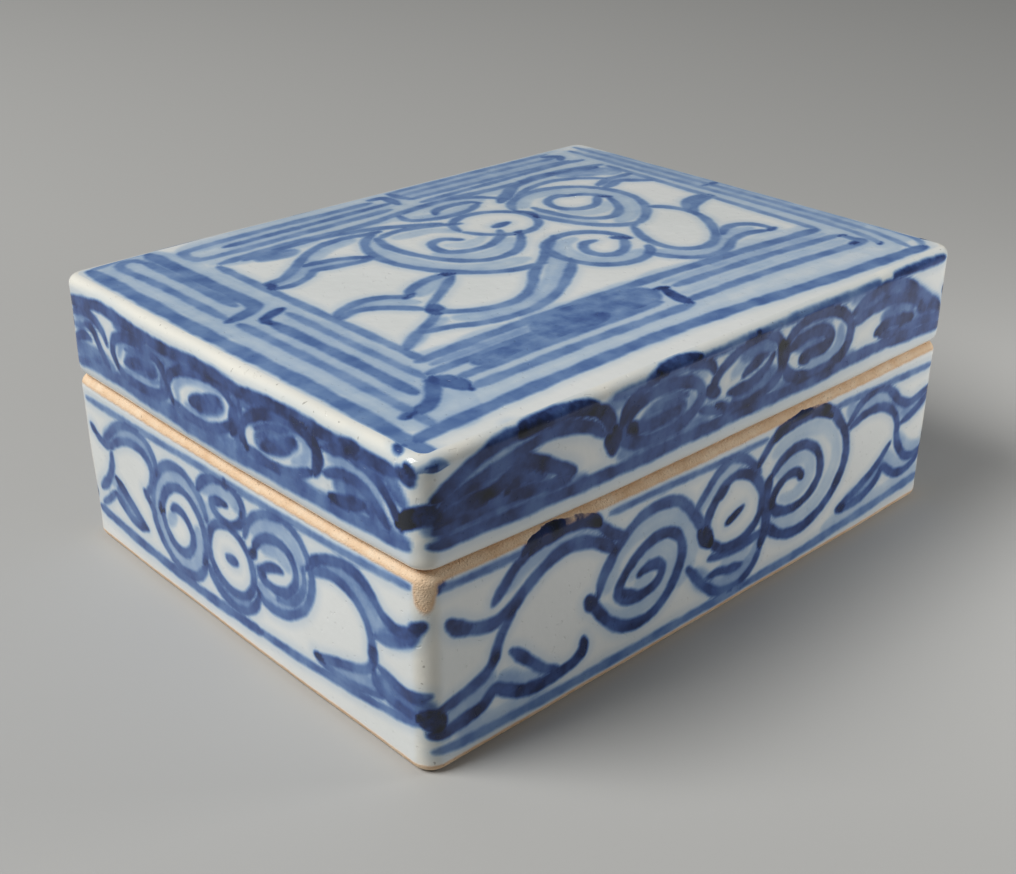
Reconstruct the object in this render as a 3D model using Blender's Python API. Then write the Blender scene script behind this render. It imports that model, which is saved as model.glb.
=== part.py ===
"""Rectangular porcelain trinket box with a lift-off cover. Metres, +Z up.

The foot stands on z = 0 with the box centred over the origin: its length runs along X and its
width along Y. It is two fired pieces. The base has a flange standing inside its seat, and the
cover drops over that flange and rests on the seat.
"""
import math

import bmesh
import bpy

# Outer sizes
LENGTH = 0.084
WIDTH = 0.064
SEAT_HEIGHT = 0.0219
COVER_HEIGHT = 0.0118
CORNER_RADIUS = 0.0022

# Base
FOOT_BEVEL = 0.001
FOOT_RING_WIDTH = 0.005
FOOT_RECESS_DEPTH = 0.0009
FOOT_RECESS_RADIUS = 0.002
FLOOR_THICKNESS = 0.0036
FLOOR_FILLET = 0.0015
SHOULDER_BEVEL = 0.0014
FLANGE_THICKNESS = 0.0016
FLANGE_HEIGHT = 0.004
FLANGE_BEVEL = 0.0004
HOLLOW_RADIUS = 0.003

# Cover
COVER_WALL = 0.003
COVER_TOP_THICKNESS = 0.0038
COVER_EDGE_RADIUS = 0.0016
COVER_RIM_BEVEL = 0.0008
COVER_RIM_BEVEL_HEIGHT = 0.0015
COVER_CROWN = 0.0003
COVER_CROWN_REACH = 0.012
COVER_INNER_RADIUS = 0.002
CEILING_FILLET = 0.0015

# Clearances between the two pieces
SEAT_GAP = 0.0003
FLANGE_CLEARANCE = 0.0004

# Facets in a quarter turn
CORNER_STEPS = 8
EDGE_STEPS = 4


def quarter_arc(inset, height, radius, start, end):
    """Section points on a quarter circle about (inset, height), from start to end in degrees.

    At 0 degrees a point is further into the box than the centre, and at 90 degrees it is above it.
    """
    step = (end - start) / EDGE_STEPS
    angles = [math.radians(start + step * count) for count in range(EDGE_STEPS + 1)]
    return [(inset + radius * math.cos(angle), height + radius * math.sin(angle)) for angle in angles]


def outer_wall(points):
    """Give section points near the outer wall corners that share the outer corner's centre."""
    return [(inset, height, CORNER_RADIUS - inset) for inset, height in points]


def inner_wall(points, radius):
    """Give section points further in their own corner radius."""
    return [(inset, height, radius) for inset, height in points]


def add_ring(mesh, inset, height, radius):
    """Add the corners of a level rounded rectangle, set in from the outer plan."""
    half_length = LENGTH / 2 - inset - radius
    half_width = WIDTH / 2 - inset - radius
    corners = ((1, 1, 0), (-1, 1, 90), (-1, -1, 180), (1, -1, 270))
    ring = []
    for side_x, side_y, start in corners:
        for count in range(CORNER_STEPS + 1):
            angle = math.radians(start + 90 * count / CORNER_STEPS)
            x = side_x * half_length + radius * math.cos(angle)
            y = side_y * half_width + radius * math.sin(angle)
            ring.append(mesh.verts.new((x, y, height)))
    return ring


def sweep_round_plan(name, section, material):
    """Carry a section of (inset, height, corner radius) points round the plan and cap both its ends."""
    mesh = bmesh.new()
    rings = [add_ring(mesh, *point) for point in section]
    for ring, next_ring in zip(rings, rings[1:]):
        for corner in range(len(ring)):
            mesh.faces.new((ring[corner - 1], ring[corner], next_ring[corner], next_ring[corner - 1]))
    mesh.faces.new(rings[0])
    mesh.faces.new(rings[-1])
    bmesh.ops.recalc_face_normals(mesh, faces=mesh.faces)
    data = bpy.data.meshes.new(name)
    mesh.to_mesh(data)
    mesh.free()
    data.shade_smooth()
    data.set_sharp_from_angle(angle=math.radians(30))
    data.materials.append(material)
    piece = bpy.data.objects.new(name, data)
    bpy.context.collection.objects.link(piece)


def porcelain(name, colour, roughness):
    """Glazed porcelain of one colour."""
    material = bpy.data.materials.new(name)
    material.use_nodes = True
    shader = material.node_tree.nodes["Principled BSDF"]
    shader.inputs["Base Color"].default_value = (*colour, 1)
    shader.inputs["Roughness"].default_value = roughness
    shader.inputs["Metallic"].default_value = 0
    return material


def make_base():
    """Recessed foot, straight walls, bevelled shoulder, flat seat, and the flange standing inside it."""
    flange_outer = COVER_WALL + FLANGE_CLEARANCE
    flange_inner = flange_outer + FLANGE_THICKNESS
    flange_top = SEAT_HEIGHT + FLANGE_HEIGHT
    foot_inner = FOOT_BEVEL + FOOT_RING_WIDTH
    floor_top = FOOT_RECESS_DEPTH + FLOOR_THICKNESS

    recess = [(foot_inner + FOOT_RECESS_DEPTH, FOOT_RECESS_DEPTH), (foot_inner, 0)]
    outside = quarter_arc(FOOT_BEVEL, FOOT_BEVEL, FOOT_BEVEL, start=270, end=180)
    outside += [(0, SEAT_HEIGHT - SHOULDER_BEVEL), (SHOULDER_BEVEL, SEAT_HEIGHT)]
    flange_outside = [
        (flange_outer, SEAT_HEIGHT),
        (flange_outer, flange_top - FLANGE_BEVEL),
        (flange_outer + FLANGE_BEVEL, flange_top),
    ]
    hollow = [(flange_inner - FLANGE_BEVEL, flange_top), (flange_inner, flange_top - FLANGE_BEVEL)]
    hollow += quarter_arc(flange_inner + FLOOR_FILLET, floor_top + FLOOR_FILLET, FLOOR_FILLET, start=180, end=270)
    section = (
        inner_wall(recess, FOOT_RECESS_RADIUS)
        + outer_wall(outside)
        + inner_wall(flange_outside, COVER_INNER_RADIUS)
        + inner_wall(hollow, HOLLOW_RADIUS)
    )
    sweep_round_plan("base", section, porcelain("base_glaze", colour=(0.60, 0.66, 0.72), roughness=0.15))


def make_cover():
    """Cap with a crowned top and a bevelled rim, which stands just over the seat and round the flange."""
    rim = SEAT_HEIGHT + SEAT_GAP
    top = rim + COVER_HEIGHT
    edge_top = top - COVER_CROWN
    ceiling = top - COVER_TOP_THICKNESS

    hollow = quarter_arc(COVER_WALL + CEILING_FILLET, ceiling - CEILING_FILLET, CEILING_FILLET, start=90, end=180)
    hollow += [(COVER_WALL, rim)]
    outside = [(COVER_RIM_BEVEL, rim), (0, rim + COVER_RIM_BEVEL_HEIGHT)]
    outside += quarter_arc(COVER_EDGE_RADIUS, edge_top - COVER_EDGE_RADIUS, COVER_EDGE_RADIUS, start=180, end=90)
    crown = [(COVER_CROWN_REACH, top)]
    section = (
        inner_wall(hollow, COVER_INNER_RADIUS)
        + outer_wall(outside)
        + inner_wall(crown, COVER_INNER_RADIUS)
    )
    sweep_round_plan("cover", section, porcelain("cover_glaze", colour=(0.52, 0.59, 0.70), roughness=0.15))


for leftover in list(bpy.data.objects):
    bpy.data.objects.remove(leftover)
make_base()
make_cover()
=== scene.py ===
import math
import bpy
import numpy as np
from mathutils import Matrix, Vector


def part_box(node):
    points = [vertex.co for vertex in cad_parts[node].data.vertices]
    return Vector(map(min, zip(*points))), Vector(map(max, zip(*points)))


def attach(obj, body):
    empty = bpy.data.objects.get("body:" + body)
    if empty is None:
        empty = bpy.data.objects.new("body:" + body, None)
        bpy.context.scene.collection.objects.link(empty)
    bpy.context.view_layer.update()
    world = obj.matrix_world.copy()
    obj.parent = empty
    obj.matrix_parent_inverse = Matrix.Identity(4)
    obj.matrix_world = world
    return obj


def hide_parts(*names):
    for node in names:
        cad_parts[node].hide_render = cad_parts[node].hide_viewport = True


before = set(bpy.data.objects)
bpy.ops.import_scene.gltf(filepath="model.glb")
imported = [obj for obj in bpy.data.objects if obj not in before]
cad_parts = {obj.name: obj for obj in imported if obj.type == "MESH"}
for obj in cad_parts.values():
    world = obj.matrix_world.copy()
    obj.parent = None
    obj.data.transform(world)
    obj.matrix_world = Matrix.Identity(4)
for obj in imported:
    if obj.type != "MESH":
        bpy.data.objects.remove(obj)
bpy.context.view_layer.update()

# -------------------- the base
# The lower half of the box: slab-built porcelain on a ground foot ring, with a rounded shoulder, a seat
# and a flange that keeps the cover in place. Its sides are brushed with cobalt under one clear glaze,
# and its foot, shoulder, seat and flange were wiped bare, so that they fired to orange biscuit.

MM = 0.001
base_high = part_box("base")[1]
cover_low, cover_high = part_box("cover")
HALF_LENGTH, HALF_WIDTH = base_high.x / MM, base_high.y / MM
PLAN_CORNER = 2.2
CORNER_CELLS = 6
CELL = 0.33
WALL_SET_IN = 0.12
WALL_SWELL = 0.10
SIDE_BOW = 0.22
JOIN_DIP, JOIN_LIFT = -0.45, 0.75


def plan_axis(half):
    """Places along one side of the plan: the straight share from -1 to 1, and the share into each corner."""
    straight = round(2 * (half - PLAN_CORNER) / CELL)
    into_corner = np.linspace(0, 1, CORNER_CELLS + 1)[1:]
    corner_ones = np.ones(CORNER_CELLS)
    along = np.concatenate([-corner_ones, np.linspace(-1, 1, straight + 1), corner_ones])
    corner = np.concatenate([-into_corner[::-1], np.zeros(straight + 1), into_corner])
    return along, corner


along_x, corner_x = plan_axis(HALF_LENGTH)
along_y, corner_y = plan_axis(HALF_WIDTH)
plan_u, plan_v = np.meshgrid(along_x, along_y)
corner_u, corner_v = np.meshgrid(corner_x, corner_y)
reach = np.maximum(np.abs(corner_u), np.abs(corner_v)) / np.maximum(np.hypot(corner_u, corner_v), 1e-9)
corner_u, corner_v = corner_u * reach, corner_v * reach
ROWS, COLUMNS = plan_u.shape

# The plan's edge, anticlockwise from the corner where the front and the left-hand end meet.
edge_cells = np.concatenate([
    np.arange(COLUMNS - 1),
    np.arange(ROWS - 1) * COLUMNS + COLUMNS - 1,
    np.arange(COLUMNS - 1)[::-1] + 1 + (ROWS - 1) * COLUMNS,
    (np.arange(ROWS - 1)[::-1] + 1) * COLUMNS,
])
STATIONS = len(edge_cells)
edge_u, edge_v, edge_cu, edge_cv = (grid.ravel()[edge_cells] for grid in (plan_u, plan_v, corner_u, corner_v))


def in_plan(u, v, cu, cv, inset, corner):
    """Level place in mm of plan points set in from the walls. The sides bow out between the corners."""
    x = u * (HALF_LENGTH - inset - corner - WALL_SET_IN - SIDE_BOW * v ** 2) + corner * cu
    y = v * (HALF_WIDTH - inset - corner - WALL_SET_IN - SIDE_BOW * u ** 2) + corner * cv
    return x, y


# How far round the plan each station is, and the middle of each of the four sides on that way round.
edge_x = edge_u * (HALF_LENGTH - PLAN_CORNER) + PLAN_CORNER * edge_cu
edge_y = edge_v * (HALF_WIDTH - PLAN_CORNER) + PLAN_CORNER * edge_cv
step_length = np.hypot(np.roll(edge_x, -1) - edge_x, np.roll(edge_y, -1) - edge_y)
ROUND = step_length.sum()
way_round = np.concatenate([[0], np.cumsum(step_length)[:-1]])
long_side = step_length[:COLUMNS - 1].sum()
short_side = ROUND / 2 - long_side
SIDE_MIDDLES = (long_side / 2, long_side + short_side / 2, ROUND / 2 + long_side / 2, ROUND - short_side / 2)


def join_rise(x, y):
    """How far off level the two halves meet, in mm: the slabs warped in the kiln and rise at one corner."""
    to_corner = -(x / HALF_LENGTH + y / HALF_WIDTH) / 2
    return JOIN_DIP + JOIN_LIFT * np.clip(to_corner, 0, 1) ** 4


def hand_swell(x, y, z, phase):
    """Slow unevenness of pressed clay, between about -1 and 1."""
    return (
        0.5 * np.sin(0.11 * x + 0.07 * y + 0.16 * z + phase)
        + 0.3 * np.sin(0.23 * y - 0.19 * x + 0.31 * z + 2.1 * phase)
        + 0.2 * np.sin(0.47 * x + 0.41 * y - 0.53 * z + 3.7 * phase)
    )


def arc(inset, height, radius, start, end, steps):
    """Section points on part of a circle; at 0 degrees a point is further in, at 90 higher."""
    angles = np.radians(np.linspace(start, end, steps + 1))
    return [(inset + radius * math.cos(a), height + radius * math.sin(a)) for a in angles]


def rise(inset, low, high, step=CELL):
    """Section points up or down a wall, left out at both its ends."""
    count = max(2, round(abs(high - low) / step))
    return [(inset, low + (high - low) * share / count) for share in range(1, count)]


PATH_STEP = 0.16
UNPAINTED = -3.0
BRUSH_REACH = 2.0
BRUSH_TAPER = 1.5
PAST_CORNER = 2.5
HAND_SHAKE = 0.14
BATCH = 4000000


def smooth_line(p):
    """A smooth curve through the given points."""
    p = np.vstack([2 * p[0] - p[1], p, 2 * p[-1] - p[-2]])
    parts = []
    for before, start, end, after in zip(p, p[1:], p[2:], p[3:]):
        count = max(2, int(np.hypot(*(end - start)) / PATH_STEP))
        t = np.linspace(0, 1, count, endpoint=False)[:, None]
        parts.append(0.5 * (
            2 * start + (end - before) * t
            + (2 * before - 5 * start + 4 * end - after) * t ** 2
            + (3 * start - before - 3 * end + after) * t ** 3
        ))
    return np.vstack(parts + [p[-2:-1]])


class Paint:
    """What lies on each point of a piece: how deep it is inside a line in mm, and how much cobalt."""

    def __init__(self, count, seed):
        self.ink = np.full(count, UNPAINTED)
        self.load = np.zeros(count)
        self.tone = np.zeros(count)
        self.chance = np.random.default_rng(seed)

    def stroke(self, points, where, width, load, line):
        """Yields the points near one stroke, how deep each is inside it, and the cobalt there. Its width
        and load waver, and it is narrower at its ends, where the cobalt pools a little."""
        path = smooth_line(line)
        lean = self.chance.uniform(0, 2 * math.pi, 3)
        run = np.linspace(0, len(path) * PATH_STEP, len(path))
        to_end = np.minimum(run, run[-1] - run)
        half = width / 2 * (1 + 0.08 * np.sin(0.7 * run + lean[0]) + 0.04 * np.sin(1.9 * run + lean[1]))
        half *= 0.48 + 0.52 * np.clip(to_end / BRUSH_TAPER, 0, 1) ** 0.6
        pooled = 0.10 * min(1, run[-1] / 8) * np.exp(-to_end / 0.8)
        strength = load * (1 + 0.07 * np.sin(0.9 * run + lean[2]) + pooled)
        low, high = path.min(0) - width / 2 - BRUSH_REACH, path.max(0) + width / 2 + BRUSH_REACH
        near = np.flatnonzero(np.all((where > low) & (where < high), axis=1))
        for some in np.array_split(near, max(1, len(near) * len(path) // BATCH)):
            away = np.hypot(where[some, 0, None] - path[:, 0], where[some, 1, None] - path[:, 1])
            best = (half - away).argmax(1)
            yield points[some], (half - away)[np.arange(len(some)), best], strength[best]

    def draw_line(self, *stroke):
        """A line of strong cobalt. Where two lines cross, the cobalt lies a little thicker."""
        for target, depth, strength in self.stroke(*stroke):
            old = self.ink[target]
            crossing = np.clip(np.minimum(depth, old) / 0.3, 0, 1)
            kept = np.where(crossing > 0, self.load[target], 0)
            fresh = np.where(depth > old, strength, self.load[target])
            self.load[target] = np.maximum(fresh, kept) + 0.05 * crossing
            self.ink[target] = np.maximum(old, depth)

    def draw_wash(self, *stroke):
        """A wide, thin wash with soft edges."""
        for target, depth, strength in self.stroke(*stroke):
            share = np.clip((depth + 0.45) / 0.8, 0, 1)
            self.tone[target] = np.maximum(self.tone[target], strength * share * share * (3 - 2 * share))

    def draw(self, points, where, lines, washes, mirrored=False):
        """Draws a face's washes and then its lines. Each stroke is a row: width in mm, load of cobalt, and
        then two numbers in mm for each point that the brush passed."""
        for strokes, lay_down in ((washes, self.draw_wash), (lines, self.draw_line)):
            for width, load, *line in strokes:
                line = np.array(line, float).reshape(-1, 2)
                if mirrored:
                    line = line * (-1, 1) + self.chance.normal(0, HAND_SHAKE, line.shape)
                lay_down(points, where, width, load, line)

    def draw_sides(self, heights, long_lines, long_washes, short_lines, short_washes):
        """Draws the four sides, whose points are given from the side's middle and from the table up. The
        two far sides have the same motifs mirrored. heights is nan where nothing is painted."""
        for side, middle in enumerate(SIDE_MIDDLES):
            along = (way_round - middle + ROUND / 2) % ROUND - ROUND / 2
            half_side = (long_side, short_side)[side % 2] / 2 + PAST_CORNER
            rings, stations = np.nonzero((np.abs(along) < half_side)[None, :] & np.isfinite(heights))
            where = np.column_stack([along[stations], heights[rings, stations]])
            lines, washes = ((long_lines, long_washes), (short_lines, short_washes))[side % 2]
            self.draw(rings * STATIONS + stations, where, lines, washes, mirrored=side in (1, 2))


# Glaze and cobalt run thin over the four upright corners.
corner_thin = np.minimum(1, 2.2 * np.abs(edge_cu * edge_cv))


def add_quads(rings):
    """Faces between neighbouring rings of corner numbers."""
    return np.vstack([
        np.column_stack([lower, np.roll(lower, -1), np.roll(upper, -1), upper])
        for lower, upper in zip(rings, rings[1:])
    ])


def make_piece(name, points, faces, paint, bare, thin, material):
    """One closed, smooth mesh with the numbers that its material reads at each corner."""
    mesh = bpy.data.meshes.new(name)
    mesh.from_pydata((points * MM).tolist(), [], faces)
    marks = {"ink": paint.ink, "load": paint.load, "tone": paint.tone, "bare": bare, "thin": thin}
    for label, values in marks.items():
        layer = mesh.attributes.new(label, "FLOAT", "POINT")
        layer.data.foreach_set("value", values.astype(np.float32))
    mesh.shade_smooth()
    mesh.set_sharp_from_angle(angle=math.radians(50))
    mesh.materials.append(material)
    piece = bpy.data.objects.new(name, mesh)
    bpy.context.scene.collection.objects.link(piece)
    return piece


def section_rings(section, phase, warp_from, warp_to):
    """Places of a section's rings, with walls that swell a little. The warp of the join comes in between
    two heights."""
    rings = []
    for inset, height, corner in section:
        x, y = in_plan(edge_u, edge_v, edge_cu, edge_cv, inset, corner)
        swell = WALL_SWELL * hand_swell(x, y, height, phase)
        x, y = x + swell * edge_cu, y + swell * edge_cv
        share = np.clip((height - warp_from) / (warp_to - warp_from), 0, 1)
        z = height + share * join_rise(x, y)
        rings.append(np.column_stack([x, y, z]))
    return np.array(rings)


def painting_heights(section, first, last):
    """The height that each ring from first to last has in the painting, and nan for the others."""
    heights = np.full((len(section), STATIONS), np.nan)
    heights[first:last] = np.array(section)[first:last, 1:2]
    return heights


def depth_in_zones(section, zones):
    """How far each section point is inside the bare zones, in mm along the section."""
    flat = np.array(section)[:, :2]
    run = np.concatenate([[0], np.cumsum(np.hypot(*np.diff(flat, axis=0).T))])
    depth = np.full(len(section), GLAZED)
    for first, last in zones:
        depth = np.maximum(depth, np.minimum(run - run[first], run[last] - run))
    return np.repeat(depth[:, None], STATIONS, axis=1)


def fired_porcelain(name, offset):
    """Clear glaze over cobalt painting, with bare biscuit where the glaze was wiped off."""
    material = bpy.data.materials.new(name)
    material.use_nodes = True
    tree = material.node_tree
    shader = tree.nodes["Principled BSDF"]
    shader.inputs["Specular IOR Level"].default_value = 0.38

    def node(kind, output, values, **settings):
        """A new node with its settings and inputs, each a number, a colour or another node's output."""
        made = tree.nodes.new("ShaderNode" + kind)
        for label, setting in settings.items():
            setattr(made, label, setting)
        for label, value in values.items():
            if isinstance(value, bpy.types.NodeSocket):
                tree.links.new(value, made.inputs[label])
            else:
                made.inputs[label].default_value = value
        return made.outputs[output]

    def painted(label):
        return node("Attribute", "Fac", {}, attribute_name=label)

    def speckle(per_mm, detail=2.0):
        return node("TexNoise", "Fac", {"Vector": place, "Scale": per_mm, "Detail": detail})

    def reckon(operation, *values):
        return node("Math", "Value", dict(enumerate(values)), operation=operation)

    def ease(value, low, high, to_low=0.0, to_high=1.0):
        ends = {"From Min": low, "From Max": high, "To Min": to_low, "To Max": to_high}
        return node("MapRange", "Result", {"Value": value, **ends}, interpolation_type="SMOOTHSTEP")

    def ramp(value, *stops):
        colour = node("ValToRGB", "Color", {"Fac": value})
        elements = colour.node.color_ramp.elements
        while len(elements) < len(stops):
            elements.new(0.5)
        for element, (position, *shade) in zip(elements, stops):
            element.position = position
            element.color = (*shade, 1)
        return colour

    def mix(share, first, second, how="MIX"):
        both = {"Factor": share, "A": first, "B": second}
        return node("Mix", "Result", both, data_type="RGBA", blend_type=how)

    in_mm = {"Scale": (1 / MM,) * 3, "Location": (offset, offset * 0.7, offset * 1.3)}
    place = node("Mapping", "Vector", {"Vector": node("TexCoord", "Object", {}), **in_mm})

    # The cobalt: lines with slightly frayed edges over softer washes, worn where the glaze is thin.
    waver = reckon("SUBTRACT", speckle(0.9), 0.5)
    fray = reckon("SUBTRACT", speckle(4.5, 3), 0.5)
    streak = speckle(0.45, 4)
    ink = painted("ink")
    ink_edge = reckon("MULTIPLY_ADD", waver, 0.24, reckon("MULTIPLY_ADD", fray, 0.05, ink))
    thin = painted("thin")
    worn = ease(reckon("MULTIPLY", thin, speckle(1.3, 3)), 0.25, 0.75, 1.0, 0.85)
    line_cover = reckon("MULTIPLY", ease(ink_edge, -0.34, 0.26), worn)
    wash_amount = reckon("MULTIPLY", painted("tone"), ease(streak, 0.2, 0.8, 0.75, 1.25))
    bleed = reckon("MULTIPLY", ease(ink, -1.6, 0.1), 0.08)
    under = reckon("ADD", wash_amount, bleed)
    line_amount = reckon("MULTIPLY", painted("load"), ease(streak, 0.25, 0.75, 0.88, 1.10))
    line_amount = reckon("MAXIMUM", line_amount, under)
    over = reckon("MULTIPLY", reckon("SUBTRACT", line_amount, under), line_cover)
    cobalt = reckon("ADD", under, over)
    tint = ramp(
        cobalt,
        (0, 1, 1, 1), (0.12, 0.67, 0.78, 0.92), (0.22, 0.5, 0.64, 0.85), (0.34, 0.34, 0.48, 0.75),
        (0.46, 0.21, 0.34, 0.63), (0.58, 0.12, 0.22, 0.5), (0.7, 0.062, 0.12, 0.36),
        (0.84, 0.026, 0.046, 0.16), (1, 0.018, 0.022, 0.034),
    )

    # The white under it, a little uneven, creamier and specked where the glaze is thin.
    white = ramp(speckle(0.06, 3), (0.3, 0.69, 0.715, 0.705), (0.7, 0.745, 0.76, 0.75))
    white = mix(ease(thin, 0.0, 1.0, 0.0, 0.55), white, (0.77, 0.73, 0.62, 1))
    speck = reckon("MULTIPLY", ease(speckle(1.9, 1), 0.70, 0.78), ease(thin, 0.2, 1.0, 0.02, 0.55))
    white = mix(speck, white, (0.20, 0.19, 0.17, 1))
    glaze = mix(1.0, white, tint, "MULTIPLY")

    # Bare biscuit, scorched darker along the glaze's edge. Heaped cobalt stays over it.
    bare_edge = reckon("MULTIPLY_ADD", waver, 0.3, reckon("MULTIPLY_ADD", fray, 0.08, painted("bare")))
    bare_cover = reckon("MULTIPLY", ease(bare_edge, -0.20, 0.20), ease(cobalt, 0.76, 0.88, 1.0, 0.0))
    biscuit = ramp(streak, (0.25, 0.68, 0.47, 0.29), (0.5, 0.76, 0.57, 0.39), (0.75, 0.81, 0.66, 0.49))
    biscuit = mix(ease(bare_edge, 0.0, 0.5, 0.38, 0.0), biscuit, (0.55, 0.28, 0.12, 1))
    grit = ease(speckle(3.2, 2), 0.66, 0.72, 0.0, 0.45)
    biscuit = mix(grit, biscuit, (0.16, 0.09, 0.05, 1))
    tree.links.new(mix(bare_cover, glaze, biscuit), shader.inputs["Base Color"])

    # Gloss: uneven on the glaze, duller on heaped cobalt, matt on the biscuit.
    sheen = ease(speckle(0.35, 3), 0.3, 0.7, 0.10, 0.20)
    glaze_rough = reckon("ADD", sheen, ease(cobalt, 0.8, 0.95, 0.0, 0.16))
    rough = reckon("MULTIPLY_ADD", bare_cover, 0.6, glaze_rough)
    tree.links.new(rough, shader.inputs["Roughness"])

    # Relief in mm: rippled glaze, raised lines, pinholes, and the biscuit's grain.
    ripple = reckon("MULTIPLY", speckle(0.8, 2), 0.035)
    thick = reckon("MULTIPLY", line_cover, 0.010)
    grain = reckon("MULTIPLY", reckon("MULTIPLY", speckle(5.0, 4), 0.12), bare_cover)
    pinhole = ease(speckle(1.7, 0), 0.77, 0.80, 0.0, -0.03)
    relief = reckon("ADD", reckon("ADD", ripple, thick), reckon("ADD", grain, pinhole))
    bump = node("Bump", "Normal", {"Distance": MM, "Height": relief})
    tree.links.new(bump, shader.inputs["Normal"])
    return material


TIGHTEST_CORNER = 0.4
FOOT_CORNER, FLANGE_CORNER, HOLLOW_CORNER = 2.0, 2.0, 3.0
RECESS_HEIGHT = 0.9
FOOT_RING_INNER = 6.0
FOOT_ROUND = 1.05
FLOOR_HEIGHT = 4.5
FLOOR_ROUND = 1.5
SEAT_HEIGHT = cover_low.z / MM - 0.3
SHOULDER_ROUND = 1.3
FLANGE_OUTER, FLANGE_INNER = 3.4, 5.0
FLANGE_TOP = base_high.z / MM
FLANGE_ROUND = 0.4
GLAZED = -20.0
WEAR_WIDTH, WEAR_DROP, WEAR_HEIGHT = 1.15, 2.1, 20.4


def outer_corners(points):
    """Gives section points near the outside corners that share the outside corner's centre."""
    return [(inset, height, max(TIGHTEST_CORNER, PLAN_CORNER - inset)) for inset, height in points]


def own_corners(points, corner):
    """Gives section points further in a corner radius of their own."""
    return [(inset, height, corner) for inset, height in points]


underside = [(24, RECESS_HEIGHT), (14, RECESS_HEIGHT), (7.3, RECESS_HEIGHT), (6.9, RECESS_HEIGHT - 0.12)]
underside = own_corners(underside + [(6.3, 0.12), (FOOT_RING_INNER, 0)], FOOT_CORNER)
foot = outer_corners([(2.2, 0), (1.1, 0)] + arc(FOOT_ROUND, FOOT_ROUND, FOOT_ROUND, 255, 180, 4))
wall = outer_corners(rise(0, FOOT_ROUND, SEAT_HEIGHT - SHOULDER_ROUND))
shoulder = outer_corners(arc(SHOULDER_ROUND, SEAT_HEIGHT - SHOULDER_ROUND, SHOULDER_ROUND, 180, 100, 5))
seat = outer_corners([(1.7, SEAT_HEIGHT), (2.4, SEAT_HEIGHT)])
flange = [(FLANGE_OUTER - 0.25, SEAT_HEIGHT)]
flange += [(FLANGE_OUTER, SEAT_HEIGHT + 0.25), (FLANGE_OUTER, SEAT_HEIGHT + 2)]
flange += arc(FLANGE_OUTER + FLANGE_ROUND, FLANGE_TOP - FLANGE_ROUND, FLANGE_ROUND, 180, 90, 3)
flange = own_corners(flange, FLANGE_CORNER)
hollow = arc(FLANGE_INNER - FLANGE_ROUND, FLANGE_TOP - FLANGE_ROUND, FLANGE_ROUND, 90, 0, 3)
hollow += rise(FLANGE_INNER, FLANGE_TOP - FLANGE_ROUND, FLOOR_HEIGHT + FLOOR_ROUND, 2.4)
hollow += arc(FLANGE_INNER + FLOOR_ROUND, FLOOR_HEIGHT + FLOOR_ROUND, FLOOR_ROUND, 180, 270, 5)
hollow += [(10, FLOOR_HEIGHT), (17, FLOOR_HEIGHT), (25, FLOOR_HEIGHT)]
base_section = underside + foot + wall + shoulder + seat + flange + own_corners(hollow, HOLLOW_CORNER)

# The foot is bare, and so is all from just above the walls, over the seat, to inside the flange.
wall_first = len(underside + foot)
wall_last = wall_first + len(wall)
bare_from, bare_to = wall_last + 1, wall_last + len(shoulder + seat + flange) + 3
base_bare = depth_in_zones(base_section, [(4, wall_first - 1), (bare_from, bare_to)])
# One corner, where the way round starts, is worn to the biscuit a little way down from the shoulder.
from_corner = np.minimum(way_round, ROUND - way_round)
for ring in range(wall_first, bare_from + 2):
    worn_depth = WEAR_WIDTH - np.hypot(from_corner, (base_section[ring][1] - WEAR_HEIGHT) / WEAR_DROP)
    base_bare[ring] = np.maximum(base_bare[ring], worn_depth)
base_thin = np.zeros((len(base_section), STATIONS))
base_thin[wall_first - 4:wall_last + 3] = corner_thin
base_heights = painting_heights(base_section, wall_first - 3, wall_last + 5)

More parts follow.
